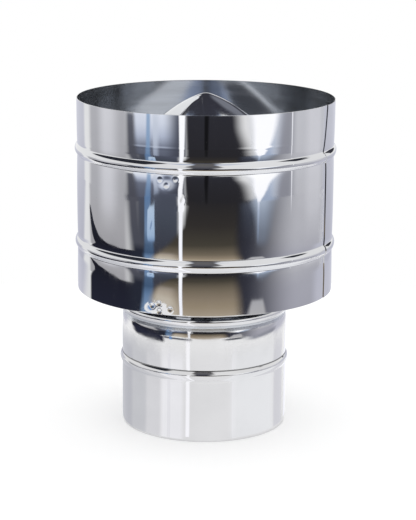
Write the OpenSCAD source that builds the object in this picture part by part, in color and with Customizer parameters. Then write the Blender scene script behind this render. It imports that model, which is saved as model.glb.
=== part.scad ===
// Chimney cowl: a flue pipe ends inside a wider drum, under a rain cone.
// The Z axis runs up the pipe, and the origin is the centre of its lower end.
// Azimuths turn from the front, -Y, towards +X.

/* [Sheet] */
// Thickness of the sheet that the shells are rolled from
sheet = 0.5; // [0.4:0.1:1]
// Height of a rolled bead above the wall
bead_height = 1.6; // [1:0.1:2.5]
// Width of a rolled bead along the wall
bead_width = 8; // [6:0.5:12]
// Outer radius between a bead and the wall
bead_root = 1.5; // [1.2:0.1:3]

/* [Flue pipe] */
// Bore of the pipe
flue_bore = 130; // [110:1:150]
// Length of the pipe below the drum
pipe_below = 110; // [80:1:160]
// Length of the pipe that stands inside the drum
pipe_inside = 15; // [14:1:25]
// Height of the stop bead above the pipe's lower end
stop_bead_rise = 53; // [20:1:60]
// Drop from the drum's lower edge to the neck bead
neck_bead_drop = 14.5; // [6:0.5:18]

/* [Drum] */
// Bore of the drum
drum_bore = 200; // [190:1:240]
// Height of the drum
drum_height = 150; // [140:1:200]
// Drop from the rim to the upper bead
upper_bead_drop = 39.3; // [30:0.1:40]
// Rise from the drum's lower edge to the lower bead
lower_bead_rise = 37.5; // [20:0.5:60]
// Width of the lap where the drum's sheet closes on itself
drum_lap = 10.5; // [6:0.5:16]
// Length over which the outer layer comes back to the round past the lap
drum_ease = 21; // [16:1:40]
// Azimuth of the lap's visible edge
lap_azimuth = 66; // [0:1:359]

/* [Diffuser] */
// Length of the collar that sits in the pipe
collar_length = 20; // [10:1:22]
// Height of the flare above the collar
flare_height = 40; // [20:1:45]
// Widening of the flare on each side
flare_width = 17; // [6:1:20]

/* [Rain cone] */
// Height of the cone from its edge to its tip
cone_rise = 46; // [36:1:50]
// Height of the tip above the drum's rim
tip_above_rim = 4; // [0:0.5:8]
// Angle that the lap of the cone's seam takes up
cone_lap_angle = 9; // [5:1:15]
// Azimuth of the cone's seam
cone_seam_azimuth = -40; // [-180:1:180]

/* [Straps] */
// Width of each strap
strap_width = 20; // [14:1:26]
// Thickness of each strap
strap_sheet = 1; // [0.6:0.1:1.5]
// Inner radius of the straps' bends
strap_bend = 1; // [0.5:0.1:2]
// Height of the flanges that lie on a wall
strap_flange = 12; // [10:0.5:12]
// Length of the tab that lies under the cone
cone_tab = 16; // [10:1:22]
// Distance from the cone's edge to the bend of the tab
tab_lead = 3; // [2:0.5:4]
// Height of the lower straps above the drum's lower edge
strap_inset = 1; // [0.5:0.5:2]
// Azimuth of the first strap under the cone
cone_strap_azimuth = -16.5; // [-45:0.5:45]
// Azimuth of the first strap at the pipe
pipe_strap_azimuth = -19; // [-45:0.5:45]
// Diameter of a spot weld's dimple
weld_width = 4; // [3:0.5:5]
// Depth of a spot weld's dimple
weld_depth = 0.15; // [0.1:0.05:0.2]

/* [Hidden] */
$fn = 180;
arc_fn = 64;

flue_r = flue_bore / 2;
pipe_r = flue_r + sheet;
drum_r = drum_bore / 2;
drum_z = pipe_below;
rim_z = drum_z + drum_height;
pipe_top = drum_z + pipe_inside;
pipe_beads = [stop_bead_rise, drum_z - neck_bead_drop];
drum_beads = [drum_z + lower_bead_rise, rim_z - upper_bead_drop];

// A bead is an arc through its crest that would meet the wall at the bead's width
bead_r = (bead_width * bead_width / 4 + bead_height * bead_height) / (2 * bead_height);
// Each root's arc dips this far past the faces that it joins, so that it crosses them cleanly
root_dip = 0.01;
// Distance from the centre of a bead's arc to that of its root, and how far the root lies from the crest
root_span = bead_r + bead_root - root_dip;
root_rise = sqrt(pow(root_span, 2) - pow(root_span - bead_height, 2));

// The way past the cone's edge is as large as the flue
cone_r = sqrt(drum_r * drum_r - flue_r * flue_r);
tip_z = rim_z + tip_above_rim;
cone_edge_z = tip_z - cone_rise;
cone_slope = atan(cone_rise / cone_r);
cone_down = [-sin(cone_slope), -cos(cone_slope)];
cone_in = [-cos(cone_slope), sin(cone_slope)];
// Share of the cone's slant that its lap leaves bare at the tip
tip_bare_share = 0.06;

// Angles on the drum's outer face
drum_face = drum_r + sheet;
lap_angle = drum_lap / drum_face * 180 / PI;
ease_angle = drum_ease / drum_face * 180 / PI;
// The eased stretch is an arc about a centre that lies off the axis
// Share of the sheet by which the eased arc stops short of each neighbour
ease_step_share = 0.1;
// Angle by which the eased arc runs into each neighbour
ease_join_angle = 0.1;
ease_offset = sheet * (1 - 2 * ease_step_share) / (2 * sin(ease_angle / 2));
ease_radial = sheet / 2;

// Spot welds on a flange, as shares of the strap's width and the flange's height
cone_weld_shares = [[-0.26, 0.17], [0, -0.18], [0.34, 0.22]];
pipe_weld_shares = [[-0.34, -0.05], [-0.06, 0.12], [-0.04, -0.36], [0.36, -0.18]];
weld_r = (weld_width * weld_width / 4 + weld_depth * weld_depth) / (2 * weld_depth);

strap_count = 4;
strap_mid = strap_sheet / 2;
// Clearance between a strap or collar and each face that it is welded to
seat_gap = 0.02;
cone_strap_path = cone_path();
pipe_strap_foot = drum_z + strap_inset;
pipe_strap_path = pipe_path();
flange_foot_z = cone_strap_path[0][1];

// Corners of a cone strap's middle line: down the wall, across, and up under the cone
function cone_path() =
    let (
        wall = drum_r - strap_mid - seat_gap,
        edge = [cone_r, cone_edge_z] + cone_down * (sheet + strap_mid + seat_gap),
        turn = edge - cone_in * tab_lead,
        foot = turn[1] + strap_mid - strap_flange
    )
    [[wall, foot], [wall, turn[1]], turn, edge + cone_in * cone_tab];

// Corners of a pipe strap's middle line: up the drum's wall, across, and down the pipe
function pipe_path() =
    let (
        outer = drum_r - strap_mid - seat_gap,
        inner = pipe_r + strap_mid + seat_gap,
        web = pipe_strap_foot + strap_flange - strap_mid
    )
    [[outer, pipe_strap_foot], [outer, web], [inner, web], [inner, pipe_strap_foot]];

function unit(v) = v / norm(v);
function side(v) = [-v[1], v[0]];

// What a bead and its roots enclose, from the given line outwards, on a face that lies
// the given growth outside the first sheet's outer face. The crest is level with the origin.
module bead_outline(growth, from_x) {
    crest_x = bead_height - bead_r;
    root_x = bead_root - root_dip;
    reach = bead_r + growth;
    join_x = crest_x + (root_x - crest_x) * (reach - root_dip / 2) / root_span;
    intersection() {
        translate([crest_x, 0])
            circle(reach, $fn = arc_fn);
        translate([from_x, -bead_width])
            square(2 * bead_width);
    }
    difference() {
        translate([from_x, -root_rise])
            square([join_x - from_x, 2 * root_rise]);
        for (way = [-1, 1])
            translate([root_x, way * root_rise])
                circle(bead_root - growth, $fn = arc_fn);
    }
}

// Section of a beaded wall, with the sheet's inner face at the given radius.
// Layer 1 is a second sheet that lies on the first.
module wall_section(inner_r, foot, top, beads, layer = 0) {
    growth = layer * sheet;
    difference() {
        union() {
            translate([inner_r + growth, foot])
                square([sheet, top - foot]);
            for (z = beads)
                translate([inner_r + sheet, z])
                    bead_outline(growth, growth - sheet / 2);
        }
        for (z = beads)
            translate([inner_r + sheet, z])
                bead_outline(growth - sheet, growth - 3 * sheet / 2);
    }
}

// Section of a folded strip: straight legs along the corners, with a round bend between them
module folded_section(corners, thick, bend) {
    mid = bend + thick / 2;
    last = len(corners) - 1;
    ways = [for (i = [0 : last - 1]) unit(corners[i + 1] - corners[i])];
    turns = [for (i = [1 : last - 1]) cross(ways[i - 1], ways[i])];
    cuts = [
        for (i = [0 : last])
            i == 0 || i == last ? 0 : mid * tan(asin(abs(turns[i - 1])) / 2)
    ];
    for (i = [0 : last - 1]) {
        from = corners[i] + ways[i] * cuts[i];
        to = corners[i + 1] - ways[i] * cuts[i + 1];
        half = side(ways[i]) * thick / 2;
        polygon([from + half, from - half, to - half, to + half]);
    }
    for (i = [1 : last - 1]) {
        inward = side(ways[i - 1]) * sign(turns[i - 1]);
        start = corners[i] - ways[i - 1] * cuts[i];
        end = corners[i] + ways[i] * cuts[i];
        centre = start + inward * mid;
        reach = 2 * (corners[i] - centre);
        intersection() {
            translate(centre)
                difference() {
                    circle(bend + thick, $fn = arc_fn);
                    circle(bend, $fn = arc_fn);
                }
            polygon([centre, centre + 2 * (start - centre), centre + reach, centre + 2 * (end - centre)]);
        }
    }
}

// Everything between two azimuths
module between(from, to) {
    reach = drum_bore;
    middle = (from + to) / 2;
    linear_extrude(height = rim_z)
        polygon(concat([[0, 0]], [for (a = [from, middle, to]) reach * [sin(a), -cos(a)]]));
}

// Turns what faces +X to face an azimuth
module at_azimuth(a) {
    rotate([0, 0, a - 90])
        children();
}

// One strap, cut to its width from the revolved section
module strap(corners) {
    intersection() {
        rotate_extrude()
            folded_section(corners, strap_sheet, strap_bend);
        translate([0, -strap_width / 2, 0])
            cube([drum_bore, strap_width, tip_z]);
    }
}

// Dimples that the spot welds leave on the drum's outer face
module weld_dimples(shares, foot) {
    for (s = shares) {
        turn = s[0] * strap_width / drum_face * 180 / PI;
        rotate([0, 0, turn])
            translate([drum_face + weld_r - weld_depth, 0, foot + (0.5 + s[1]) * strap_flange])
                sphere(weld_r, $fn = arc_fn);
    }
}

// Drum: one sheet, rolled and beaded, whose ends lap and are welded
module drum_shell() {
    lap_end = lap_azimuth + lap_angle;
    ease_end = lap_end + ease_angle;
    ease_middle = (lap_end + ease_end) / 2;
    color("#c9ccd2")
    difference() {
        union() {
            rotate_extrude(start = ease_end - 90, angle = 360 - ease_angle)
                wall_section(drum_r, drum_z, rim_z, drum_beads);
            rotate_extrude(start = lap_azimuth - 90, angle = lap_angle)
                wall_section(drum_r, drum_z, rim_z, drum_beads, layer = 1);
            intersection() {
                translate(ease_offset * [-cos(ease_middle), -sin(ease_middle), 0])
                    rotate_extrude(start = lap_azimuth - 90, angle = 2 * lap_angle + ease_angle)
                        translate([ease_radial, 0])
                            wall_section(drum_r, drum_z, rim_z, drum_beads);
                between(lap_end - ease_join_angle, ease_end + ease_join_angle);
            }
        }
        for (i = [0 : strap_count - 1]) {
            at_azimuth(cone_strap_azimuth + 360 * i / strap_count)
                weld_dimples(cone_weld_shares, flange_foot_z);
            at_azimuth(pipe_strap_azimuth + 360 * i / strap_count)
                weld_dimples(pipe_weld_shares, pipe_strap_foot);
        }
    }
}

// Flue pipe: a butt-welded tube with a stop bead and a neck bead
module flue_pipe() {
    color("#d4d5d9")
    rotate_extrude()
        wall_section(flue_r, 0, pipe_top, pipe_beads);
}

// Diffuser: a collar inside the pipe's top that flares out above it
module diffuser() {
    wall = flue_r - sheet / 2 - seat_gap;
    corner = pipe_top + 2 * sheet;
    path = [
        [wall, pipe_top - collar_length],
        [wall, corner],
        [wall + flare_width, corner + flare_height]
    ];
    color("#b4b9c0")
    rotate_extrude()
        folded_section(path, sheet, sheet);
}

// Rain cone: a disc with a sector cut out, closed by a lapped seam
module rain_cone() {
    tip = [0, tip_z];
    edge = [cone_r, cone_edge_z];
    lift = -cone_down * sheet;
    bare = tip + (edge - tip) * tip_bare_share;
    color("#bfc4cb")
    union() {
        rotate_extrude()
            polygon([tip, edge, edge - lift, tip - [0, sheet / cos(cone_slope)]]);
        rotate_extrude(start = cone_seam_azimuth - 90, angle = cone_lap_angle)
            polygon([bare - lift / 2, edge - lift / 2, edge + lift, bare + lift]);
    }
}

module cone_strap(i) {
    color("#a3a8b0")
    at_azimuth(cone_strap_azimuth + 360 * (i - 1) / strap_count)
        strap(cone_strap_path);
}

module pipe_strap(i) {
    color("#a3a8b0")
    at_azimuth(pipe_strap_azimuth + 360 * (i - 1) / strap_count)
        strap(pipe_strap_path);
}

drum_shell();
flue_pipe();
diffuser();
rain_cone();
cone_strap(1);  // cone_strap_1
cone_strap(2);  // cone_strap_2
cone_strap(3);  // cone_strap_3
cone_strap(4);  // cone_strap_4
pipe_strap(1);  // pipe_strap_1
pipe_strap(2);  // pipe_strap_2
pipe_strap(3);  // pipe_strap_3
pipe_strap(4);  // pipe_strap_4
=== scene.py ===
import math

import bpy
import numpy as np
from mathutils import Matrix


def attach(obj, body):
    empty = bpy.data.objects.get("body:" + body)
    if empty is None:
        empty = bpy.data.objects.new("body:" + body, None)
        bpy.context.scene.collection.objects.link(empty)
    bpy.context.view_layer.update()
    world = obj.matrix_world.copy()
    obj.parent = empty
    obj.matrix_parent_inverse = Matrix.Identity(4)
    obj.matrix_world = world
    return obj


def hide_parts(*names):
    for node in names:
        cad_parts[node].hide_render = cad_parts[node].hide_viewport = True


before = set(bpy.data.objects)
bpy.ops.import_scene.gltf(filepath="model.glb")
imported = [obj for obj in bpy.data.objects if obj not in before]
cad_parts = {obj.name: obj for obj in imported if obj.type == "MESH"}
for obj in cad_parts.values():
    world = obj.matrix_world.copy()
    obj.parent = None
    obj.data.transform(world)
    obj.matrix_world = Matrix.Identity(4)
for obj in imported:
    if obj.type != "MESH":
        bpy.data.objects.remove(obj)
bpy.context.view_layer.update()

# The cowl is bright rolled steel, so its look is mostly what it mirrors: a white table in a room of plain
# cards that only reflected rays see. Azimuths are in degrees and turn from the front, -Y, towards +X.

MM = 0.001

# ---------------------------------------------------------------- sizes of the solids, mm
SHEET = 0.5
CUT_EDGE = SHEET / 2
SEAT = 0.02
BEAD_HEIGHT = 1.6
BEAD_WIDTH = 8.0
BEAD_ROOT = 1.5
DRUM_R = 100.0
DRUM_FOOT = 110.0
DRUM_TOP = 260.0
DRUM_BEADS = (147.5, 220.7)
LAP_EDGE = 66.0
LAP_END = 71.985
EASE_END = 83.957
PIPE_R = 65.0
PIPE_TOP = 125.0
PIPE_BEADS = (53.0, 95.5)
COLLAR = 20.0
FLARE_HEIGHT = 40.0
FLARE_WIDTH = 17.0
TIP_Z = 264.0
CONE_EDGE_Z = 218.0
CONE_R = 75.993
CONE_SEAM = -40.0
CONE_LAP = 9.0

# ---------------------------------------------------------------- traces of rolling, pressing and welding, mm
# how far a wall is drawn in towards its beads, and over what length
DRAWN_IN, DRAWN_LENGTH = 0.5, 12.0
PIPE_DRAWN_IN, PIPE_DRAWN_LENGTH = 0.15, 8.0
ROOT_PULL, ROOT_PULL_LENGTH = 0.12, 2.2
CREST_INSET = 0.06
NECK_WAIST, NECK_WAIST_LENGTH = 1.05, 4.3

# the lap's cut edge strays, in degrees: at the beads, as a lean above the upper one, and as a slow wave
STRAY_AT_BEAD, STRAY_LENGTH = 0.5, 5.0
LEAN = 3.2
LEAN_FOOT, LEAN_FULL, LEAN_TOP, LEAN_LENGTH = 216.0, 8.0, 258.0, 34.0
STRAY_WAVE, STRAY_WAVE_LENGTH = 0.3, 17.0
STRAY_FADE = 8.0

# the pipe's butt weld: azimuth, height and width
PIPE_SEAM = 150.0
PIPE_WELD, PIPE_WELD_WIDTH = 0.05, 1.7
PIPE_WAVES = (0.010, 0.006)

# the rain cone: its full nose, blunt tip, slow waves and the lap of its seam
NOSE_R, NOSE_FULL, NOSE_POWER = 60.0, 2.4, 0.61
TIP_BLUNT, TIP_BLUNT_LENGTH = 1.1, 1.6
CONE_WAVE = 0.05
CONE_LAP_EASE = 10.0

# the bend between the diffuser's collar and its flare: start below the corner, rise and widening
BEND_START, BEND_RISE, BEND_OUT, FLARE_START = 1.0, 2.2, 0.55, 1.2

# places of the spot welds: azimuth in degrees, height in mm
UPPER_WELDS = ((-19.4, 212.0), (-16.5, 207.9), (-12.6, 212.7))
LOWER_WELDS = ((-22.8, 116.4), (-19.7, 118.4), (-19.5, 112.3), (-14.7, 114.8))
RIGHT_WELDS = ((67.3, 118.8), (70.7, 114.5), (69.1, 112.3), (77.0, 112.3))
QUARTERS = (90.0, 180.0, -90.0)
DIMPLE, DIMPLE_R = 0.11, 1.1
DIMPLE_RIM, DIMPLE_RIM_R, DIMPLE_RIM_WIDTH = 0.03, 2.2, 0.5

# hollows and dings: azimuth in degrees, height, half width along and up the wall, depth outwards
HOLLOWS = (
    (-16.2, 211.5, 4.6, 3.9, -0.34),
    (-16.2, 211.0, 8.5, 8.5, 0.22),
    (-21.5, 109.5, 9.5, 7.5, -0.36),
    (71.5, 115.0, 7.0, 6.0, -0.15),
    (73.6, 210.0, 7.5, 7.0, -0.12),
    (163.6, 210.5, 7.5, 7.0, -0.16),
    (161.0, 115.5, 9.0, 6.5, -0.16),
    (-106.4, 210.5, 7.5, 7.0, -0.16),
    (-109.0, 115.5, 9.0, 6.5, -0.16),
    (-9.6, 197.5, 1.2, 1.4, -0.06),
    (-10.0, 192.0, 1.2, 1.6, -0.05),
    (-12.4, 191.0, 1.0, 1.0, -0.03),
    (66.0, 135.0, 3.0, 2.5, -0.12),
)
ROLLING_WAVES = (0.020, 0.010, 0.006)
PRESS_LINE_Z, PRESS_LINE, PRESS_LINE_WIDTH = 235.0, 0.012, 0.7

# ---------------------------------------------------------------- rows of points
BEAD_ZONE, BEAD_STEP = 9.0, 0.4
ROW_GAP = 0.3
FINE_AZIMUTHS = ((-27, -8), (62, 86))
FINE_HEIGHTS = ((111.0, 124.0, 0.7), (203.0, 216.5, 0.7), (232.5, 237.5, 0.35))


def welds():
    spots = list(UPPER_WELDS) + list(LOWER_WELDS) + list(RIGHT_WELDS)
    for q in QUARTERS:
        spots += [(a + q, z) for a, z in UPPER_WELDS]
        if q != QUARTERS[0]:
            spots += [(a + q, z) for a, z in LOWER_WELDS]
    return spots


WELDS = welds()


def turned(a):
    """Degrees brought to -180..180."""
    return (np.asarray(a) + 180.0) % 360.0 - 180.0


def along(az, place, radius):
    """Distance along a round wall from the azimuth place, in mm."""
    return turned(az - place) * np.pi / 180.0 * radius


def bump(t, width):
    return np.exp(-0.5 * (t / width) ** 2)


# ---------------------------------------------------------------- forms
BEAD_ARC = (BEAD_WIDTH ** 2 / 4 + BEAD_HEIGHT ** 2) / (2 * BEAD_HEIGHT)
ROOT_SPAN = BEAD_ARC + BEAD_ROOT
ROOT_RISE = math.sqrt(ROOT_SPAN ** 2 - (ROOT_SPAN - BEAD_HEIGHT) ** 2)


def bead_form(t, grow=0.0):
    """Height of a rolled bead above the wall, at the distance t from its crest: one arc and two roots."""
    t = np.abs(t)
    crest, root = BEAD_ARC + grow, BEAD_ROOT - grow
    turn = ROOT_RISE * crest / ROOT_SPAN
    top = np.sqrt(np.clip(crest ** 2 - t ** 2, 0.0, None)) + BEAD_HEIGHT - BEAD_ARC
    foot = BEAD_ROOT - np.sqrt(np.clip(root ** 2 - (ROOT_RISE - t) ** 2, 0.0, None))
    return np.where(t < turn, top, np.where(t < ROOT_RISE, foot, grow)) - grow


def wall_form(z, beads, depth, length, grow=0.0):
    """The wall's own line: drawn in towards its beads, which stand out from it."""
    r = np.zeros_like(z)
    for zb in beads:
        t = np.abs(z - zb)
        pull = ROOT_PULL * np.exp(-np.clip(t - ROOT_RISE, 0.0, None) / ROOT_PULL_LENGTH)
        own = np.clip(t / ROOT_RISE, 0.0, 1.0) ** 2
        r = r - depth * np.exp(-t / length) - pull * own
        r = r + bead_form(t, grow) * (1.0 + (depth - CREST_INSET) / BEAD_HEIGHT)
    return r


def drum_dents(az, z):
    """Weld dimples, shallow hollows, dings and rolling waves of the drum's wall, in mm outwards."""
    d = np.zeros_like(z)
    for place, height in WELDS:
        s = along(az, place, DRUM_R)
        away = np.sqrt(s * s + (z - height) ** 2)
        d -= DIMPLE * bump(away, DIMPLE_R)
        d += DIMPLE_RIM * bump(away - DIMPLE_RIM_R, DIMPLE_RIM_WIDTH)
    for place, height, wide, high, depth in HOLLOWS:
        d += depth * bump(along(az, place, DRUM_R), wide) * bump(z - height, high)
    a = az * np.pi / 180.0
    d += ROLLING_WAVES[0] * np.sin(7 * a + 0.4) * np.cos((z - 180.0) / 27.0)
    d += ROLLING_WAVES[1] * np.sin(13 * a + 1.9) * np.sin((z - 110.0) / 19.0 + 0.8)
    d += ROLLING_WAVES[2] * np.sin(23 * a + 0.2 + (z - 150.0) / 30.0)
    d += PRESS_LINE * bump(z - PRESS_LINE_Z, PRESS_LINE_WIDTH)
    return d


def around(start, stop, fine, step, fine_step):
    """Azimuths from start to stop, closer together inside the fine ranges."""
    out = [start]
    while out[-1] < stop - 1e-6:
        a = out[-1]
        near = any(lo <= (a - 360.0 * k) <= hi for lo, hi in fine for k in (-1, 0, 1))
        out.append(min(stop, a + (fine_step if near else step)))
    return np.array(out)


def heights(foot, top, beads, coarse, extra=()):
    """Rows from foot to top, closer together at the beads and in the extra ranges."""
    z = list(np.arange(foot, top, coarse))
    for zb in beads:
        z += list(zb + np.arange(-BEAD_ZONE, BEAD_ZONE + 0.01, BEAD_STEP))
    for lo, hi, step in extra:
        z += list(np.arange(lo, hi, step))
    z = np.array(sorted(v for v in z if foot < v < top))
    keep = [foot]
    for v in z:
        if v - keep[-1] > ROW_GAP and top - v > ROW_GAP:
            keep.append(v)
    return np.array(keep + [top])


def points(az, r, z):
    """Points in metres from azimuths in degrees and radii and heights in mm."""
    a = np.radians(az)
    return np.stack([r * np.sin(a), -r * np.cos(a), z], -1) * MM


# ---------------------------------------------------------------- meshes
def grid(name, P, closed=False, flip=False):
    """A surface from a grid of points, with its own smooth normals."""
    nu, nv = P.shape[:2]
    if closed:
        Pu = np.roll(P, -1, 0) - np.roll(P, 1, 0)
    else:
        Pu = np.gradient(P, axis=0)
    Pv = np.gradient(P, axis=1)
    N = np.cross(Pu, Pv)
    size = np.linalg.norm(N, axis=-1, keepdims=True)
    N = N / np.where(size > 1e-15, size, 1.0)
    if flip:
        N = -N
    last = nu if closed else nu - 1
    i = np.arange(last)[:, None]
    j = np.arange(nv - 1)[None, :]
    k = (i + 1) % nu
    a, b, c, d = i * nv + j, k * nv + j, k * nv + j + 1, i * nv + j + 1
    quads = np.stack([a, d, c, b] if flip else [a, b, c, d], -1).reshape(-1, 4)
    mesh = bpy.data.meshes.new(name)
    mesh.from_pydata(P.reshape(-1, 3).tolist(), [], quads.tolist())
    mesh.polygons.foreach_set("use_smooth", np.ones(len(mesh.polygons), dtype=bool))
    mesh.normals_split_custom_set_from_vertices(N.reshape(-1, 3).tolist())
    obj = bpy.data.objects.new(name, mesh)
    bpy.context.scene.collection.objects.link(obj)
    return obj


def lip(r_in, r_out, z, up):
    """Half round of a sheet's cut edge, from the inner face to the outer one."""
    mid, half = (r_in + r_out) / 2, (r_out - r_in) / 2
    t = np.linspace(0, np.pi, 7)[1:-1]
    rise = half * np.sin(t) * (1 if up else -1)
    return [(mid - half * math.cos(a), z + dz) for a, dz in zip(t, rise)]


def spiral_out(az):
    """Offset of the outer layer: one sheet thick over the lap, eased back past it."""
    t = np.clip((az - LAP_END) / (EASE_END - LAP_END), 0.0, 1.0)
    return SHEET * (1.0 - t * t * (3 - 2 * t))


def edge_stray(z):
    """How far the lap's cut edge strays, in degrees."""
    w = np.zeros_like(z)
    for zb in DRUM_BEADS:
        w -= STRAY_AT_BEAD * bump(z - zb, STRAY_LENGTH)
    lean = np.clip((LEAN_TOP - z) / LEAN_LENGTH, 0.0, 1.0) * np.clip((z - LEAN_FOOT) / LEAN_FULL, 0.0, 1.0)
    return w - LEAN * lean + STRAY_WAVE * np.sin(z / STRAY_WAVE_LENGTH)


def drum_skin():
    """Outer face of the drum, and the cut edge of its lap."""
    az = around(LAP_EDGE, LAP_EDGE + 363.0, FINE_AZIMUTHS, 1.0, 0.35)
    lo, hi = DRUM_FOOT + CUT_EDGE, DRUM_TOP - CUT_EDGE
    z = heights(lo, hi, DRUM_BEADS, 3.0, FINE_HEIGHTS)
    foot = lip(DRUM_R, DRUM_R + SHEET, lo, False)
    top = lip(DRUM_R, DRUM_R + SHEET, hi, True)
    wall = SHEET + wall_form(z, DRUM_BEADS, DRAWN_IN, DRAWN_LENGTH)
    r = np.array([p[0] - DRUM_R for p in foot] + list(wall) + [p[0] - DRUM_R for p in top[::-1]])
    h = np.array([p[1] for p in foot] + list(z) + [p[1] for p in top[::-1]])
    A, Z = np.meshgrid(az, h, indexing="ij")
    fade = np.clip(1.0 - (A - LAP_EDGE) / STRAY_FADE, 0.0, 1.0)
    A2 = A + edge_stray(Z) * fade
    R = DRUM_R + r[None, :] + spiral_out(A) + drum_dents(A2, Z)
    P = points(A2, R, Z)
    inner = points(A2[:1], R[:1] - SHEET * 0.98, Z[:1])
    return grid("drum_skin", P), grid("drum_lap_edge", np.concatenate([inner, P[:1]]))


def drum_lining():
    """Inner face of the drum."""
    az = around(LAP_END, LAP_END + 360.0, FINE_AZIMUTHS, 1.0, 0.6)
    z = heights(DRUM_FOOT + CUT_EDGE, DRUM_TOP - CUT_EDGE, DRUM_BEADS, 4.0)
    wall = wall_form(z, DRUM_BEADS, DRAWN_IN, DRAWN_LENGTH, -SHEET)
    A, Z = np.meshgrid(az, z, indexing="ij")
    R = DRUM_R + wall[None, :] + drum_dents(A, Z)
    R = R + spiral_out(A) * (A < LAP_END + 359.9)
    return grid("drum_lining", points(A, R, Z), flip=True)


def neck_waist(z):
    """The pipe draws in just under its neck bead."""
    d = PIPE_BEADS[1] - z
    half = BEAD_WIDTH / 2
    past = NECK_WAIST * np.exp(-(d - half) / NECK_WAIST_LENGTH)
    near = NECK_WAIST * np.clip(d / half, 0.0, 1.0) ** 2
    return np.where(d > half, past, np.where(d > 0, near, 0.0))


def pipe_skin():
    """Outer face of the pipe, with its butt weld ground almost flat."""
    az = np.arange(0.0, 360.0, 1.5)
    z = heights(CUT_EDGE, PIPE_TOP, PIPE_BEADS, 3.0)
    wall = SHEET + wall_form(z, PIPE_BEADS, PIPE_DRAWN_IN, PIPE_DRAWN_LENGTH)
    foot = lip(PIPE_R, PIPE_R + SHEET, CUT_EDGE, False)
    r = np.array([p[0] - PIPE_R for p in foot] + list(wall))
    h = np.array([p[1] for p in foot] + list(z))
    A, Z = np.meshgrid(az, h, indexing="ij")
    a = np.radians(A)
    R = PIPE_R + r[None, :] - neck_waist(Z)
    R = R + PIPE_WAVES[0] * np.sin(5 * a + 0.7) * np.cos(Z / 23.0) + PIPE_WAVES[1] * np.sin(11 * a + Z / 31.0)
    R = R + PIPE_WELD * bump(along(A, PIPE_SEAM, PIPE_R), PIPE_WELD_WIDTH)
    return grid("pipe_skin", points(A, R, Z), closed=True)


def pipe_lining():
    """Inner face of the pipe and its upper cut edge."""
    az = np.arange(0.0, 360.0, 2.0)
    z = heights(CUT_EDGE, PIPE_TOP, PIPE_BEADS, 4.0)
    wall = wall_form(z, PIPE_BEADS, PIPE_DRAWN_IN, PIPE_DRAWN_LENGTH, -SHEET)
    A, Z = np.meshgrid(az, z, indexing="ij")
    R = PIPE_R + wall[None, :] + 0 * A
    rim = points(A[:, -1:], R[:, -1:] + SHEET, Z[:, -1:])
    P = np.concatenate([points(A, R, Z), rim], 1)
    return grid("pipe_lining", P, closed=True, flip=True)


def diffuser_skin():
    """Collar, bend and flare of the diffuser, both faces, on the solid's lines."""
    r0 = PIPE_R - SHEET - SEAT
    corner = PIPE_TOP + 2 * SHEET
    bend = corner - BEND_START
    inner = [(r0, PIPE_TOP - COLLAR), (r0, PIPE_TOP - COLLAR / 2), (r0, bend)]
    steps = 10
    for i in range(1, steps):
        t = i / steps
        inner.append((r0 + BEND_OUT * t * t, bend + BEND_RISE * t))
    slope = FLARE_WIDTH / FLARE_HEIGHT
    for z in np.linspace(corner + FLARE_START, corner + FLARE_HEIGHT, 12):
        inner.append((r0 + slope * (z - corner), z))
    inner = np.array(inner)
    outer = inner + np.array([SHEET, -SHEET * 0.2])
    loop = np.concatenate([inner, outer[::-1], inner[:1]])
    az = np.arange(0.0, 360.0, 2.0)
    A, k = np.meshgrid(az, np.arange(len(loop)), indexing="ij")
    return grid("diffuser_skin", points(A, loop[k, 0], loop[k, 1]), closed=True, flip=True)


def cone_skin():
    """Upper face, edge and under face of the rain cone, with its lapped seam."""
    az = around(CONE_SEAM, CONE_SEAM + 360.0, ((CONE_SEAM - 2, CONE_SEAM + CONE_LAP + 2),), 2.0, 0.5)
    # shares of the slope, from the tip to the edge
    s = np.concatenate([[0.0, 0.01, 0.025, 0.045], np.linspace(0.07, 1.0, 34)])
    slope = math.atan2(TIP_Z - CONE_EDGE_Z, CONE_R)
    A, S = np.meshgrid(az, s, indexing="ij")
    t = A - CONE_SEAM
    lap = np.where(t <= CONE_LAP, 1.0, np.clip(1.0 - (t - CONE_LAP) / CONE_LAP_EASE, 0.0, 1.0) ** 2)
    lap = lap * np.clip((S - 0.06) / 0.05, 0.0, 1.0)
    lap = lap * (t > 1e-6)
    blunt = TIP_BLUNT * np.exp(-S * CONE_R / TIP_BLUNT_LENGTH)
    nose = np.clip(S * CONE_R / NOSE_R, 0.0, 1.0)
    full = NOSE_FULL * np.sin(np.pi * nose ** NOSE_POWER) ** 2
    wave = CONE_WAVE * np.sin(3 * np.radians(A) + 0.8) * S
    lift = SHEET * lap + wave + full
    R = S * CONE_R + lift * math.sin(slope)
    Z = TIP_Z - S * (TIP_Z - CONE_EDGE_Z) + lift * math.cos(slope) - blunt
    top = points(A, R, Z)
    down = np.array([0.0, 0.0, -SHEET * MM / math.cos(slope)])
    return grid("cone_skin", np.concatenate([top, top[:, ::-1] + down], 1))


# ---------------------------------------------------------------- materials
CLOUD_SCALE, SMEAR_SCALE, HAIR_SCALE = 14.0, 60.0, 420.0
HAIR_BUMP, HAIR_DEPTH = 0.04, 0.05 * MM
SMEAR_DEPTH = 0.2 * MM
PAINTED_BAND_STRAY = 16.0
# the shares of a tint go into the colour ramp scaled down by this, and are scaled up after it
RAMP_SCALE = 0.7


def srgb(r, g, b):
    out = []
    for v in (r, g, b):
        v = v / 255.0
        out.append(v / 12.92 if v <= 0.04045 else ((v + 0.055) / 1.055) ** 2.4)
    return (*out, 1.0)


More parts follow.
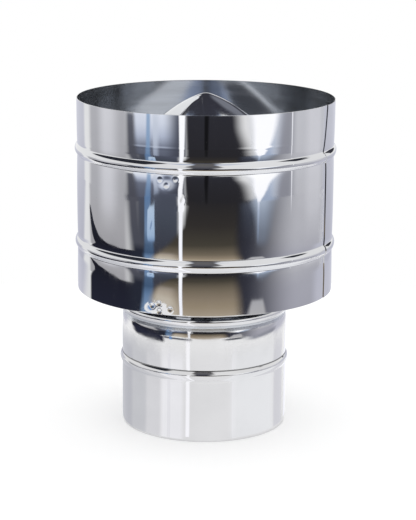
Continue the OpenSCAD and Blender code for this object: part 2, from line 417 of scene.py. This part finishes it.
class Nodes:
    """A new node material, and short calls to fill it."""

    def __init__(self, name):
        self.mat = bpy.data.materials.new(name)
        self.mat.use_nodes = True
        self.t = self.mat.node_tree
        self.t.nodes.clear()
        self.out = self.t.nodes.new("ShaderNodeOutputMaterial")

    def add(self, kind):
        return self.t.nodes.new(kind)

    def link(self, a, b):
        self.t.links.new(a, b)

    def math(self, operation, a, b=None):
        """A Math node. A number is set on its socket and an output is linked to it."""
        m = self.add("ShaderNodeMath")
        m.operation = operation
        for socket, value in zip(m.inputs, (a, b)):
            if isinstance(value, float):
                socket.default_value = value
            elif value is not None:
                self.link(value, socket)
        return m.outputs[0]

    def ramp(self, value, lo, hi, to_lo, to_hi, smooth=True):
        r = self.add("ShaderNodeMapRange")
        r.interpolation_type = "SMOOTHSTEP" if smooth else "LINEAR"
        for key, v in (("From Min", lo), ("From Max", hi), ("To Min", to_lo), ("To Max", to_hi)):
            r.inputs[key].default_value = v
        self.link(value, r.inputs["Value"])
        return r.outputs[0]

    def tones(self, value, stops):
        """A colour ramp over places from 0 to 1."""
        tone = self.add("ShaderNodeValToRGB")
        line = tone.color_ramp.elements
        line[0].position, line[0].color = stops[0]
        line[1].position, line[1].color = stops[-1]
        for at, colour in stops[1:-1]:
            line.new(at).color = colour
        self.link(value, tone.inputs["Fac"])
        return tone.outputs["Color"]

    def noise(self, coordinates, scale, squeeze, detail, roughness=0.55):
        m = self.add("ShaderNodeMapping")
        m.inputs["Scale"].default_value = squeeze
        t = self.add("ShaderNodeTexNoise")
        t.inputs["Scale"].default_value = scale
        t.inputs["Detail"].default_value = detail
        t.inputs["Roughness"].default_value = roughness
        self.link(coordinates, m.inputs[0])
        self.link(m.outputs[0], t.inputs["Vector"])
        return t.outputs["Fac"]

    def bump(self, height, strength, distance, under=None):
        b = self.add("ShaderNodeBump")
        b.inputs["Strength"].default_value = strength
        b.inputs["Distance"].default_value = distance
        self.link(height, b.inputs["Height"])
        if under:
            self.link(under, b.inputs["Normal"])
        return b.outputs[0]

    def darker(self, colour, share):
        m = self.add("ShaderNodeVectorMath")
        m.operation = "SCALE"
        self.link(colour, m.inputs[0])
        self.link(share, m.inputs["Scale"])
        return m.outputs[0]


def steel(name, colour, rough, rough_spread, grain, streaks, smears=0.0, metal=1.0,
          painted_root_shade=(), painted_bands=(), drift=0.93, wiped=False):
    """Sheet steel: rolled grain, hairline scratches, wiped smears and a faint colour drift.

    grain, streaks: how the hairlines and the smears are stretched, along X, Y and Z.
    smears: strength of the smears' relief.
    painted_root_shade: height in mm, width in mm and depth of the painted shade that darkens the colour along
    a bead's root.
    painted_bands: place across in mm and the share of the colour kept there, bands of painted light and
    painted shade.
    drift: share of the colour left in its darker places, which follow the smears if it is wiped.
    """
    n = Nodes(name)
    shader = n.add("ShaderNodeBsdfPrincipled")
    shader.inputs["Metallic"].default_value = metal
    shader.inputs["Specular IOR Level"].default_value = 0.5
    n.link(shader.outputs[0], n.out.inputs[0])
    where = n.add("ShaderNodeTexCoord").outputs["Object"]
    cloud = n.noise(where, CLOUD_SCALE, (1, 1, 1), 4.0)
    smear = n.noise(where, SMEAR_SCALE, streaks, 5.0)
    hair = n.noise(where, HAIR_SCALE, grain, 2.0, 0.7)

    tint = n.add("ShaderNodeMix")
    tint.data_type = "RGBA"
    tint.inputs["A"].default_value = tuple(c * drift for c in colour[:3]) + (1.0,)
    tint.inputs["B"].default_value = colour
    n.link(n.ramp(smear if wiped else cloud, 0.35, 0.65, 0.0, 1.0), tint.inputs["Factor"])
    last = tint.outputs["Result"]
    if painted_root_shade or painted_bands:
        split = n.add("ShaderNodeSeparateXYZ")
        n.link(where, split.inputs[0])
    # painted shade: the colour darkened in a band along each bead's root, where shade falls
    for height, width, depth in painted_root_shade:
        away = n.math("ABSOLUTE", n.math("SUBTRACT", split.outputs["Z"], height * MM))
        last = n.darker(last, n.ramp(away, 0.3 * width * MM, width * MM, depth, 1.0))
    # painted light and shade: the colour scaled band by band across the surface, with edges strayed by the
    # cloud noise
    if painted_bands:
        stray = n.add("ShaderNodeMath")
        stray.operation = "MULTIPLY_ADD"
        stray.inputs[1].default_value = PAINTED_BAND_STRAY * MM
        n.link(cloud, stray.inputs[0])
        n.link(split.outputs["X"], stray.inputs[2])
        first, span = painted_bands[0][0], painted_bands[-1][0] - painted_bands[0][0]
        lo, hi = ((at + PAINTED_BAND_STRAY / 2) * MM for at in (first, first + span))
        place = n.ramp(stray.outputs[0], lo, hi, 0.0, 1.0, False)
        tone = n.tones(place, [((at - first) / span, (RAMP_SCALE * v,) * 3 + (1.0,)) for at, v in painted_bands])
        grey = n.add("ShaderNodeSeparateXYZ")
        n.link(tone, grey.inputs[0])
        last = n.darker(last, n.math("MULTIPLY", grey.outputs["X"], 1.0 / RAMP_SCALE))
    n.link(last, shader.inputs["Base Color"])

    low = n.ramp(smear, 0.35, 0.7, max(0.0, rough - rough_spread), rough + rough_spread)
    scratch = n.ramp(hair, 0.6, 0.75, 0.0, rough_spread * 1.5)
    n.link(n.math("ADD", low, scratch), shader.inputs["Roughness"])
    normal = n.bump(hair, HAIR_BUMP, HAIR_DEPTH)
    if smears:
        normal = n.bump(smear, smears, SMEAR_DEPTH, normal)
    n.link(normal, shader.inputs["Normal"])
    return n.mat


# painted light and shade inside the drum: darker and lighter bands across the lining that stand in for what
# it mirrors; place across in mm, share of the colour
PAINTED_BANDS = (
    (-100.0, 0.50), (-82.0, 0.66), (-72.0, 0.62), (-64.0, 1.0), (-14.0, 1.0), (-3.0, 0.72), (3.0, 0.46),
    (11.0, 0.56), (18.0, 1.05), (24.0, 1.25), (58.0, 1.1), (66.0, 0.80), (73.0, 0.50), (79.0, 0.50),
    (86.0, 1.1), (100.0, 0.7),
)
drum_steel = steel(
    "polished drum steel", (0.72, 0.725, 0.74, 1.0), rough=0.035, rough_spread=0.02,
    grain=(1, 1, 0.04), streaks=(1, 1, 0.12))
lining_steel = steel(
    "rolled inner steel", (0.66, 0.69, 0.74, 1.0), rough=0.15, rough_spread=0.06,
    grain=(0.03, 0.03, 0.6), streaks=(0.06, 0.06, 1.0), smears=0.05, metal=0.9,
    # bands of painted light and painted shade across the lining
    painted_bands=PAINTED_BANDS, drift=0.76, wiped=True)
pipe_steel = steel(
    "polished pipe steel", (0.722, 0.722, 0.73, 1.0), rough=0.06, rough_spread=0.03,
    grain=(1, 1, 0.05), streaks=(1, 1, 0.08), smears=0.01,
    # painted shade along the upper roots of both beads
    painted_root_shade=((57.0, 0.6, 0.25), (99.6, 0.5, 0.30)))
inner_steel = steel(
    "dull diffuser steel", (0.55, 0.57, 0.60, 1.0), rough=0.22, rough_spread=0.06,
    grain=(1, 1, 0.2), streaks=(1, 1, 0.3), smears=0.04)
cone_steel = steel(
    "polished cone steel", (0.72, 0.735, 0.76, 1.0), rough=0.09, rough_spread=0.04,
    grain=(1, 1, 0.4), streaks=(1, 1, 0.6), smears=0.03)
strap_steel = steel(
    "cut strap steel", (0.58, 0.60, 0.63, 1.0), rough=0.26, rough_spread=0.07,
    grain=(0.3, 0.3, 2.0), streaks=(0.5, 0.5, 2.0), smears=0.04)


def dress(obj, mat, slot, *nodes):
    obj.data.materials.clear()
    obj.data.materials.append(mat)
    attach(obj, "root")
    if nodes:
        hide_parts(*nodes)


skin, lap_edge = drum_skin()
dress(skin, drum_steel, "drum_steel", "drum_shell")
dress(lap_edge, drum_steel, "drum_steel")
dress(drum_lining(), lining_steel, "drum_steel")
dress(pipe_skin(), pipe_steel, "pipe_steel", "flue_pipe")
dress(pipe_lining(), inner_steel, "pipe_steel")
dress(diffuser_skin(), inner_steel, "inner_steel", "diffuser")
dress(cone_skin(), cone_steel, "cone_steel", "rain_cone")
for node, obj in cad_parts.items():
    if "strap" in node:
        for i in range(len(obj.material_slots)):
            obj.material_slots[i].material = strap_steel

# ---------------------------------------------------------------- studio set, m
# share of the light that the steel gives back, by which a card's colour is raised
METAL = 0.72
TABLE_LEFT, TABLE_RIGHT = 0.41, 0.39
TABLE_FRONT, TABLE_BACK = 0.47, 0.45
TABLE_CORNER = 3.0
TABLE_DROP = 0.00005
TABLE_WHITE = (0.78, 0.78, 0.78, 1.0)
TABLE_GLOW = 0.36
ROOM_R = 1.15
LOW_WALL = 0.17
WALL_FOOT = -0.012
FLOOR_NEAR, FLOOR_FAR = 0.30, ROOM_R + 0.01
TOP_FADE = 0.04
FLOOR_LEVEL, GLEAM_LEVEL, RIM_LEVEL = -0.004, 0.0004, 0.0034
# cards that cross lie a little apart, in layers
STANDING_LAYER, LYING_LAYER = 0.004, 0.0002
# radii of the round walls that mirror the cards, and a radius just outside the pipe
DRUM_MIRROR, PIPE_MIRROR, PIPE_CLEAR = 0.1, 0.0655, 0.067


def background_rays(n):
    """One for the rays of the camera, of gloss and of transmission."""
    path = n.add("ShaderNodeLightPath").outputs
    total = n.math("MAXIMUM", path["Is Camera Ray"], path["Is Glossy Ray"])
    return n.math("MAXIMUM", total, path["Is Transmission Ray"])


def table_reach(az):
    """Distance from the axis to the table's edge: a square with round corners, longer to the front."""
    a = np.radians(az)
    side = np.where(np.sin(a) < 0, TABLE_LEFT, TABLE_RIGHT)
    front = np.where(np.cos(a) > 0, TABLE_FRONT, TABLE_BACK)
    p = TABLE_CORNER
    return (np.abs(np.sin(a) / side) ** p + np.abs(np.cos(a) / front) ** p) ** (-1.0 / p)


def make_table():
    """The white table, which keeps the object's shadow."""
    A, K = np.meshgrid(np.arange(0.0, 360.0, 3.0), np.linspace(0.0, 1.0, 12), indexing="ij")
    R = table_reach(A) * np.clip(K, 0.001, 1.0)
    a = np.radians(A)
    obj = grid("table", np.stack([R * np.sin(a), -R * np.cos(a), 0 * R - TABLE_DROP], -1), closed=True)
    n = Nodes("white table")
    diffuse = n.add("ShaderNodeBsdfDiffuse")
    diffuse.inputs["Color"].default_value = TABLE_WHITE
    glow = n.add("ShaderNodeEmission")
    glow.inputs["Color"].default_value = (1.0, 1.0, 1.0, 1.0)
    n.link(n.math("MULTIPLY", background_rays(n), TABLE_GLOW), glow.inputs["Strength"])
    both = n.add("ShaderNodeAddShader")
    n.link(diffuse.outputs[0], both.inputs[0])
    n.link(glow.outputs[0], both.inputs[1])
    n.link(both.outputs[0], n.out.inputs[0])
    obj.data.materials.append(n.mat)


def lit(rgb):
    """The colour that a card needs for the steel to show it as rgb."""
    return tuple(c / METAL for c in srgb(*rgb)[:3]) + (1.0,)


def card(name, P, U, V, stops, soft):
    """One card of the studio: graded along V, with soft sides (U) and ends (V), as shares of the card."""
    obj = grid(name, P)
    uv = obj.data.uv_layers.new(name="UVMap")
    loops = np.zeros(len(obj.data.loops), dtype=np.int32)
    obj.data.loops.foreach_get("vertex_index", loops)
    flat = np.stack([U.reshape(-1), V.reshape(-1)], -1)[loops]
    uv.data.foreach_set("uv", flat.reshape(-1))
    n = Nodes(name)
    split = n.add("ShaderNodeSeparateXYZ")
    n.link(n.add("ShaderNodeTexCoord").outputs["UV"], split.inputs[0])
    glow = n.add("ShaderNodeEmission")
    n.link(n.tones(split.outputs["Y"], [(at, lit(rgb)) for at, rgb in stops]), glow.inputs["Color"])
    seen = None
    for axis, at_end, share in zip("XXYY", (False, True, False, True), soft):
        if share < 1e-6:
            continue
        if at_end:
            edge = n.ramp(split.outputs[axis], 1.0 - share, 1.0, 1.0, 0.0)
        else:
            edge = n.ramp(split.outputs[axis], 0.0, share, 0.0, 1.0)
        seen = edge if seen is None else n.math("MULTIPLY", seen, edge)
    if seen is None:
        n.link(glow.outputs[0], n.out.inputs[0])
    else:
        blend = n.add("ShaderNodeMixShader")
        n.link(seen, blend.inputs[0])
        n.link(n.add("ShaderNodeBsdfTransparent").outputs[0], blend.inputs[1])
        n.link(glow.outputs[0], blend.inputs[2])
        n.link(blend.outputs[0], n.out.inputs[0])
    obj.data.materials.append(n.mat)
    obj.visible_camera = False
    obj.visible_diffuse = False
    obj.visible_shadow = False


def met(az, r, mirror):
    """Azimuth at which a ray that a round wall throws to az meets the radius r."""
    return az - np.degrees(np.arcsin(np.clip(mirror / r * np.sin(np.radians(az / 2)), -1, 1)))


def outline_grid(sides, rows):
    """U, V, the height or distance, the azimuth and the extent of an outline given by its corners."""
    first, last = sides[0][0], sides[-1][0]
    U, V = np.meshgrid(np.linspace(0, 1, 40), np.linspace(0, 1, rows), indexing="ij")
    at = first + (last - first) * V
    lo, hi = (np.interp(at, [c[0] for c in sides], [c[side] for c in sides]) for side in (1, 2))
    return U, V, at, lo + (hi - lo) * U, last - first


def graded(name, P, U, V, stops, soft, first, extent):
    """A card whose stops are heights or distances and whose soft ends are lengths, in m."""
    shares = [((at - first) / extent, rgb) for at, rgb in stops]
    card(name, P, U, V, shares, (soft[0], soft[1], soft[2] / extent, soft[3] / extent))


def standing(name, sides, stops, layer=0, soft=(0, 0, 0, 0)):
    """A card that stands upright round the table.

    sides: height in m, azimuths of both sides as the drum shows them. stops: height in m, sRGB colour as
    the steel shows it. soft: shares of the width at both sides, then m at the foot and the top.
    """
    U, V, Z, A, extent = outline_grid(sides, 24)
    r = ROOM_R - STANDING_LAYER * layer
    a = np.radians(met(A, r, DRUM_MIRROR))
    P = np.stack([r * np.sin(a), -r * np.cos(a), Z], -1)
    graded(name, P, U, V, stops, soft, sides[0][0], extent)


def lying(name, sides, stops, layer=0, soft=(0, 0, 0, 0), level=FLOOR_LEVEL, mirror=DRUM_MIRROR):
    """A card that lies level with the table, as standing but with distances in place of heights."""
    U, V, R, A, extent = outline_grid(sides, 32)
    a = np.radians(met(A, R, mirror))
    P = np.stack([R * np.sin(a), -R * np.cos(a), 0 * R + level + LYING_LAYER * layer], -1)
    graded(name, P, U, V, stops, soft, sides[0][0], extent)


def dome(name, az, el, rgb, r, soft):
    """A card overhead: ranges of azimuth and elevation, radius in m, soft edges in degrees."""
    U, V = np.meshgrid(np.linspace(0, 1, 48), np.linspace(0, 1, 12), indexing="ij")
    a = np.radians(az[0] + (az[1] - az[0]) * U)
    e = np.radians(el[0] + (el[1] - el[0]) * V)
    P = np.stack([r * np.cos(e) * np.sin(a), -r * np.cos(e) * np.cos(a), r * np.sin(e)], -1)
    w, h = az[1] - az[0], el[1] - el[0]
    card(name, P, U, V, [(0, rgb), (1, rgb)], (soft[0] / w, soft[1] / w, soft[2] / h, soft[3] / h))


def band(a0, a1, lo, hi):
    """An outline with the same azimuths from lo to hi."""
    return [(lo, a0, a1), (hi, a0, a1)]


def on_table(name, sides, stops, layer, soft):
    """A card on the table, as the pipe shows it."""
    lying(name, sides, stops, layer, soft, GLEAM_LEVEL, PIPE_MIRROR)


def table_edge(name, sides, stops, layer, soft):
    """A card at the table's edge, as the pipe shows it under its neck bead."""
    lying(name, sides, stops, layer, soft, RIM_LEVEL, PIPE_MIRROR)


def studio():
    """The cards that the steel mirrors: from behind round the left to the front, the right and overhead."""
    near, far, foot, low, fade = FLOOR_NEAR, FLOOR_FAR, WALL_FOOT, LOW_WALL, TOP_FADE
    # behind the object
    standing("back card", band(124, 236, foot, low),
             [(foot, (182, 183, 193)), (low, (194, 195, 204))], layer=0, soft=(0.06, 0.06, 0, fade))
    lying("back floor", band(122, 238, near, far),
          [(near, (166, 167, 180)), (far, (182, 183, 193))], layer=0, soft=(0.06, 0.06, 0, 0))
    lying("back gleam", band(108, 252, 0.30, 0.68),
          [(0.30, (186, 186, 196)), (0.68, (182, 183, 195))],
          layer=0, soft=(0.12, 0.12, 0.10, 0.05), level=0.0)
    # left
    lying("grey floor", band(-128, -70, 0.64, far),
          [(0.64, (158, 157, 160)), (0.85, (164, 163, 166)), (far, (168, 168, 172))],
          layer=0, soft=(0.10, 0.12, 0, 0))
    lying("navy floor",
          [(near, -126, -50), (0.62, -126, -50), (0.668, -118, -58), (0.68, -117, -70),
           (0.692, -117, -86), (0.708, -118, -98), (0.76, -121, -109), (0.86, -124, -118),
           (0.98, -126, -124)],
          [(near, (40, 42, 58)), (0.72, (28, 29, 38)), (0.98, (40, 42, 52))],
          layer=1, soft=(0.05, 0.05, 0, 0.02))
    standing("grey card", band(-128, -70, foot, low),
             [(foot, (168, 168, 172)), (low, (178, 178, 182))], layer=0, soft=(0.14, 0.12, 0, fade))
    lying("grey glow floor", band(-114, -78, 0.74, far),
          [(0.74, (180, 179, 182)), (far, (199, 199, 204))], layer=3, soft=(0.45, 0.45, 0.3, 0))
    standing("grey glow", band(-114, -78, foot, low),
             [(foot, (199, 199, 204)), (low, (210, 210, 214))], layer=1, soft=(0.45, 0.45, 0, fade))
    standing("dark gap", [(foot, -78, -57), (0.04, -77, -60), (0.13, -76, -64)],
             [(foot, (74, 75, 84)), (0.08, (90, 92, 101)), (0.13, (112, 116, 128))],
             layer=2, soft=(0.42, 0.4, 0, 0.035))
    lying("gap floor", [(near, -76, -40), (0.7, -76, -46), (0.9, -76, -54), (far, -78, -56)],
          [(near, (36, 40, 52)), (0.69, (38, 41, 52)), (0.76, (72, 74, 83)), (far, (82, 83, 92))],
          layer=4, soft=(0.42, 0.4, 0, 0))
    # blue
    standing("blue backing", band(-68, -14, foot, 0.15),
             [(foot, (64, 67, 78)), (0.15, (84, 88, 102))], layer=-1, soft=(0.1, 0.1, 0, fade))
    standing("blue card", band(-68, -22, foot, low),
             [(foot, (82, 86, 100)), (0.035, (108, 114, 130)), (0.06, (178, 186, 204)),
              (0.085, (210, 216, 229)), (low, (240, 243, 248))], layer=0, soft=(0.08, 0.36, 0, fade))
    lying("blue floor", band(-66, -20, near, far),
          [(near, (60, 62, 74)), (0.72, (56, 58, 68)), (0.95, (68, 73, 84)), (far, (78, 82, 96))],
          layer=0, soft=(0.15, 0.12, 0, 0))
    standing("blue line", [(foot, -56, -48.5), (0.05, -54.5, -48.5), (low, -53.5, -48.5)],
             [(foot, (94, 122, 158)), (0.05, (134, 159, 190)), (low, (166, 187, 212))],
             layer=3, soft=(0.4, 0.35, 0, fade))
    lying("blue line floor",
          [(near, -60, -41), (0.62, -58.5, -43.5), (0.75, -57, -44.5), (0.9, -56, -47.5),
           (far, -56, -48.5)],
          [(near, (140, 164, 194)), (0.58, (96, 122, 154)), (0.66, (64, 86, 114)), (0.75, (72, 94, 122)),
           (0.88, (112, 136, 166)), (1.0, (104, 128, 160)), (far, (92, 122, 160))],
          layer=5, soft=(0.34, 0.26, 0, 0))
    lying("pale card",
          [(0.78, -51.6, -44.6), (0.83, -52.4, -44.4), (1.03, -52.0, -45.0), (1.06, -49.6, -45.2)],
          [(0.78, (112, 140, 178)), (0.83, (156, 180, 208)), (1.06, (182, 201, 222))],
          layer=6, soft=(0.10, 0.12, 0.012, 0.008))
    lying("pale card mark", [(0.87, -50.0, -48.6), (0.95, -48.2, -46.4)],
          [(0.87, (92, 116, 156)), (0.95, (104, 130, 168))], layer=7, soft=(0.4, 0.4, 0.02, 0.02))
    standing("pale line", [(foot, -47.5, -40), (low, -47.5, -38)],
             [(foot, (128, 138, 158)), (0.06, (190, 198, 213)), (low, (226, 230, 238))],
             layer=4, soft=(0.22, 0.6, 0, fade))
    # front
    lying("tan floor",
          [(near, -54, 38), (0.56, -52, 37), (0.64, -49, 35.5), (0.70, -44, 34), (0.76, -37, 33),
           (0.84, -29, 32), (0.92, -22, 32), (far, -18, 33)],
          [(near, (186, 176, 160)), (0.515, (165, 153, 136)), (0.561, (146, 133, 113)),
           (0.611, (131, 119, 103)), (0.66, (114, 104, 89)), (0.765, (67, 63, 55)), (0.925, (50, 47, 45)),
           (far, (40, 39, 42))], layer=6, soft=(0.12, 0.14, 0, 0))
    lying("tan glow", [(near, -50, -17), (0.58, -48, -19), (0.66, -44, -21), (0.70, -40, -23)],
          [(near, (206, 198, 184)), (0.56, (186, 177, 162)), (0.62, (168, 157, 142)),
           (0.70, (122, 115, 108))], layer=7, soft=(0.24, 0.5, 0, 0.05))
    standing("black card", [(foot, -18, 50), (0.04, -18, 44), (0.08, -18, 36), (low, -18, 32)],
             [(foot, (39, 38, 41)), (0.1, (44, 44, 50)), (low, (54, 55, 62))],
             layer=4, soft=(0.06, 0.25, 0, 0.02))
    standing("black top", [(low - 0.03, -16, 16), (2.4, -14, 12)],
             [(low - 0.03, (44, 45, 52)), (0.6, (82, 82, 88)), (2.4, (104, 102, 102))],
             layer=4, soft=(0.2, 0.35, 0.03, 0))
    standing("black fold", [(foot, -0.5, 2.5), (0.05, -1.5, 3.5), (low, -1.5, 4.5)],
             [(foot, (30, 30, 32)), (0.05, (20, 20, 22)), (low, (22, 22, 24))],
             layer=5, soft=(0.3, 0.4, 0, 0))
    # strip light, with its gleam on the floor and on the table
    standing("strip light", [(foot, -23.0, -18.6), (low, -24.6, -16.2)],
             [(foot, (252, 252, 255)), (low, (253, 253, 255))], layer=6, soft=(0.22, 0.22, 0, 0))
    lying("strip gleam", [(near, -23.6, -19.4), (0.8, -23.2, -19.0), (far, -23.0, -18.6)],
          [(near, (240, 242, 250)), (far, (252, 252, 255))], layer=8, soft=(0.25, 0.3, 0, 0))
    on_table("strip on table", band(-26, -18.5, PIPE_CLEAR, 0.49),
             [(PIPE_CLEAR, (250, 250, 254)), (0.49, (253, 253, 255))], layer=14, soft=(0.3, 0.3, 0, 0.02))
    # the table as the pipe shows it: cards of painted light and painted shade on the table, lighter and
    # darker patches that also cover the object's shadow there for reflected rays
    table_light_and_shade = (
        (-182, 182, (221, 221, 222)), (-182, -104, (185, 186, 192)), (-128, -66, (197, 198, 202)),
        (-92, -58, (212, 212, 215)), (-66, -24, (236, 236, 239)), (-52, -47, (228, 228, 232)),
        (38, 48, (234, 234, 237)), (30, 124, (228, 229, 231)), (112, 146, (206, 206, 211)),
        (150, 182, (228, 229, 235))
    )
    for k, (a0, a1, rgb) in enumerate(table_light_and_shade):
        on_table("table light and shade %d" % k, band(a0, a1, PIPE_CLEAR, 0.36), [(PIPE_CLEAR, rgb), (0.36, rgb)],
                 layer=k, soft=(0.22, 0.22, 0, 0.12))
    table_edge("table edge left", [(0.33, -112, -56), (0.36, -122, -54), (0.45, -128, -54)],
               [(0.33, (40, 42, 56)), (0.45, (40, 42, 58))], layer=0, soft=(0.2, 0.1, 0.03, 0.02))
    table_edge("table edge middle", [(0.39, -60, -14), (0.45, -60, -14)],
               [(0.39, (66, 69, 82)), (0.45, (76, 80, 94))], layer=1, soft=(0.1, 0.16, 0.03, 0.012))
    table_edge("table edge blue", [(0.38, -50, -44.5), (0.47, -50, -44.5)],
               [(0.38, (92, 130, 180)), (0.47, (110, 146, 194))], layer=2, soft=(0.3, 0.3, 0.03, 0.02))
    table_edge("table edge turn", [(0.39, 24, 66), (0.45, 20, 66)],
               [(0.39, (62, 64, 74)), (0.45, (66, 68, 78))], layer=2, soft=(0.3, 0.4, 0.02, 0.02))
    table_edge("table edge right", [(0.345, 62, 112), (0.37, 54, 122), (0.43, 48, 128)],
               [(0.345, (128, 130, 142)), (0.43, (150, 151, 160))], layer=0, soft=(0.34, 0.2, 0.03, 0.02))
    lying("table corner right", [(0.44, 30, 60), (0.50, 36, 58), (0.57, 41, 54)],
          [(0.44, (182, 180, 180)), (0.565, (168, 168, 172))],
          layer=1, soft=(0.25, 0.2, 0.02, 0.02), level=RIM_LEVEL)
    # right
    lying("right floor dark", band(12, 112, near, far),
          [(near, (66, 67, 78)), (0.8, (52, 53, 62)), (1.0, (62, 66, 77)), (far, (78, 83, 96))],
          layer=-1, soft=(0.05, 0.25, 0, 0))
    lying("right floor", [(near, 36, 132), (0.85, 37, 132), (far, 44, 132)],
          [(near, (160, 160, 171)), (0.62, (166, 166, 175)), (0.8, (176, 176, 182)),
           (far, (184, 184, 189))], layer=0, soft=(0.58, 0.10, 0, 0))
    lying("right floor edge", [(near, 16, 44), (0.66, 16, 44), (0.9, 16, 42), (far, 16, 40)],
          [(near, (46, 46, 55)), (0.7, (44, 44, 52)), (far, (34, 35, 40))],
          layer=3, soft=(0.25, 0.6, 0, 0))
    standing("right card", [(foot, 52, 132), (0.04, 50, 132), (low, 44, 132)],
             [(foot, (186, 186, 191)), (low, (192, 193, 198))], layer=0, soft=(0.5, 0.08, 0, fade))
    lying("right glow floor", band(94, 128, 0.72, far),
          [(0.72, (184, 184, 190)), (far, (200, 200, 205))], layer=2, soft=(0.4, 0.3, 0.3, 0))
    standing("right glow", band(94, 128, foot, low),
             [(foot, (200, 200, 205)), (low, (206, 206, 211))], layer=1, soft=(0.4, 0.3, 0, fade))
    standing("right shade", [(foot, 56, 90), (low, 66, 88)],
             [(foot, (138, 139, 148)), (low, (148, 149, 156))], layer=1, soft=(0.4, 0.4, 0, fade))
    standing("right line", [(foot, 81.0, 82.4), (low, 80.4, 82.4)],
             [(foot, (222, 222, 228)), (low, (240, 240, 244))], layer=3, soft=(0.3, 0.4, 0, 0))
    lying("right line floor", [(0.9, 81.3, 82.2), (far, 81.0, 82.4)],
          [(0.9, (176, 176, 182)), (far, (222, 222, 228))], layer=3, soft=(0.3, 0.4, 0.2, 0))
    # round light and its gleam on the floor
    lying("round gleam wide",
          [(0.70, 45, 60), (0.88, 43, 64), (1.0, 41, 66), (1.08, 38, 68), (far, 36, 70)],
          [(0.70, (96, 100, 112)), (0.88, (118, 126, 140)), (1.0, (142, 152, 168)), (far, (174, 185, 202))],
          layer=5, soft=(0.36, 0.55, 0.12, 0))
    lying("round gleam", [(0.74, 46.4, 49.4), (1.0, 46.4, 49.6), (far, 46.4, 49.4)],
          [(0.74, (110, 120, 138)), (0.9, (130, 142, 162)), (1.03, (168, 180, 200)),
           (far, (222, 228, 240))], layer=7, soft=(0.4, 0.4, 0.14, 0))
    standing("round halo", [(foot, 41, 70), (0.02, 39, 72), (0.05, 36, 74), (0.1, 33, 77), (low, 27, 80)],
             [(foot, (150, 163, 186)), (0.05, (176, 187, 206)), (0.1, (206, 212, 226)),
              (low, (226, 230, 238))], layer=6, soft=(0.48, 0.48, 0, 0))
    standing("round light",
             [(foot, 46.9, 48.7), (-0.005, 46.7, 49.1), (0.001, 46.2, 50.6), (0.007, 45.0, 53.0),
              (0.013, 43.4, 55.2), (0.02, 41.8, 57), (0.045, 40, 61), (0.064, 39, 64.5),
              (0.086, 38, 67.5), (0.10, 36.5, 69), (low, 30, 73)],
             [(foot, (232, 236, 246)), (0.01, (252, 252, 255)), (low, (255, 255, 255))],
             layer=7, soft=(0.24, 0.24, 0, 0))
    # overhead
    dome("ceiling", (-180, 180), (64, 90), (152, 164, 188), r=3.0, soft=(0, 0, 5, 0))
    dome("ceiling left", (-135, -52), (29, 68), (40, 42, 50), r=2.9, soft=(5, 8, 3, 4))
    dome("ceiling right", (90, 120), (33, 68), (42, 44, 52), r=2.9, soft=(5, 8, 3, 4))
    dome("ceiling front", (-20, 18), (24, 90), (92, 90, 91), r=2.85, soft=(6, 6, 3, 0))
    dome("ceiling back", (150, 193), (21, 90), (50, 50, 57), r=2.8, soft=(3, 2, 3, 0))
    dome("ceiling back left", (190, 226), (49, 90), (50, 50, 57), r=2.8, soft=(3, 3, 2, 0))
    dome("back shine", (140, 172), (16, 58), (112, 114, 122), r=2.7, soft=(10, 12, 12, 14))
    dome("back right", (136, 171), (8, 90), (50, 50, 58), r=2.75, soft=(2, 1, 2, 0))


make_table()
studio()

# ---------------------------------------------------------------- world and camera
LENS, SHIFT_X = 119.05, 0.00627
CAMERA_AT = (0.0, -1.32905, 0.44378)
TILT, ROLL = math.radians(76.697), math.radians(0.426)

scene = bpy.context.scene
world = bpy.data.worlds.new("white room")
scene.world = world
world.use_nodes = True
tree = world.node_tree
tree.nodes.clear()
sky_out = tree.nodes.new("ShaderNodeOutputWorld")
sky = tree.nodes.new("ShaderNodeBackground")
sky.inputs["Color"].default_value = (1.0, 1.0, 1.0, 1.0)
sky.inputs["Strength"].default_value = 1.0
tree.links.new(sky.outputs[0], sky_out.inputs[0])
scene.view_settings.view_transform = "Standard"

camera_data = bpy.data.cameras.new("camera")
camera = bpy.data.objects.new("camera", camera_data)
scene.collection.objects.link(camera)
camera_data.sensor_width = 36.0
camera_data.sensor_fit = "AUTO"
camera_data.lens = LENS
camera_data.shift_x = SHIFT_X
camera_data.clip_end = 50.0
camera.rotation_mode = "XYZ"
camera.matrix_world = (
    Matrix.Translation(CAMERA_AT) @ Matrix.Rotation(TILT, 4, "X") @ Matrix.Rotation(ROLL, 4, "Z"))
scene.camera = camera
